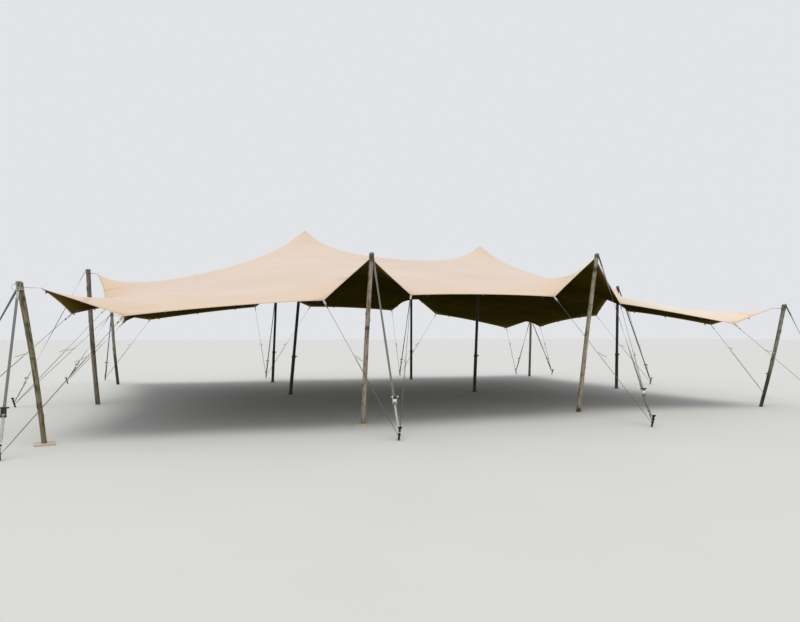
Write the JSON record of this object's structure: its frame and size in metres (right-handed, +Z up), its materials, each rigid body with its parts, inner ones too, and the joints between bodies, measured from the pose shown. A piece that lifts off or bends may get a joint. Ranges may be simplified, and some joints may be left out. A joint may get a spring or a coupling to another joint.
{
  "type": "stretch tent",
  "caption": "Stretch tent: a pale cloth pulled over two inside poles and leaning edge poles, held down by ratchet straps and guy ropes to stakes.",
  "frame": {"origin": "on the ground, at the middle of the rectangle that the tent and its stakes cover", "axes": "+X along the long front edge to the right, +Y from the front edge to the back, +Z up"},
  "size_m": [18.197, 15.357, 4.44],
  "materials": {
    "canopy_cloth": "matt sand-coloured stretch cloth, dark brown underneath",
    "pole_timber": "weathered natural round timber",
    "pole_paint": "dark brown-black painted tube",
    "board_wood": "pale raw board",
    "webbing": "grey woven polyester webbing",
    "handle_steel": "zinc-plated steel",
    "stake_steel": "black painted forged bar",
    "guy_rope": "off-white cord"
  },
  "bodies": {
    "tent": {"canopy": "canopy_cloth", "foot_board_front_left": "board_wood", "foot_board_front_left_middle": "board_wood", "guys_back_left_back": "guy_rope", "guys_back_left_middle": "guy_rope", "guys_back_left_side": "guy_rope", "guys_back_right_back": "guy_rope", "guys_back_right_middle": "guy_rope", "guys_back_right_side": "guy_rope", "guys_front_left_front": "guy_rope", "guys_front_left_middle": "guy_rope", "guys_front_left_side": "guy_rope", "guys_front_right_front": "guy_rope", "guys_front_right_middle": "guy_rope", "guys_front_right_side": "guy_rope", "guys_left_middle": "guy_rope", "guys_right_middle": "guy_rope", "pole_back_left": "pole_timber", "pole_back_left_middle": "pole_paint", "pole_back_right": "pole_timber", "pole_back_right_middle": "pole_paint", "pole_centre_left": "pole_paint", "pole_centre_right": "pole_paint", "pole_front_left": "pole_timber", "pole_front_left_middle": "pole_timber", "pole_front_right": "pole_timber", "pole_front_right_middle": "pole_timber", "pole_left_middle": "pole_timber", "pole_right_middle": "pole_paint", "stake_back_left_back": "stake_steel", "stake_back_left_middle": "stake_steel", "stake_back_left_side": "stake_steel", "stake_back_right_back": "stake_steel", "stake_back_right_middle": "stake_steel", "stake_back_right_side": "stake_steel", "stake_front_left_front": "stake_steel", "stake_front_left_middle": "stake_steel", "stake_front_left_side": "stake_steel", "stake_front_right_front": "stake_steel", "stake_front_right_middle": "stake_steel", "stake_front_right_side": "stake_steel", "stake_left_middle": "stake_steel", "stake_right_middle": "stake_steel", "strap_back_left_back": "webbing", "strap_back_left_middle": "webbing", "strap_back_left_side": "webbing", "strap_back_right_back": "webbing", "strap_back_right_middle": "webbing", "strap_back_right_side": "webbing", "strap_front_left_front": "webbing", "strap_front_left_middle": "webbing", "strap_front_left_side": "webbing", "strap_front_right_front": "webbing", "strap_front_right_middle": "webbing", "strap_front_right_side": "webbing", "strap_left_middle": "webbing", "strap_right_middle": "webbing"},
    "left_ratchet_handle": {"ratchet_handle_front_left_middle": "handle_steel"},
    "right_ratchet_handle": {"ratchet_handle_front_right_middle": "handle_steel"}
  },
  "joints": [
    {"name": "left_ratchet_handle_turn", "type": "hinge", "parent": "tent", "child": "left_ratchet_handle", "pos_m": [-2.17393, -7.22469, 0.54], "axis": [0.9889, 0.1485, 0], "range_deg": [0, 145]},
    {"name": "right_ratchet_handle_turn", "type": "hinge", "parent": "tent", "child": "right_ratchet_handle", "pos_m": [2.46103, -7.35461, 0.54], "axis": [0.9988, -0.0491, 0], "range_deg": [0, 145]}
  ]
}
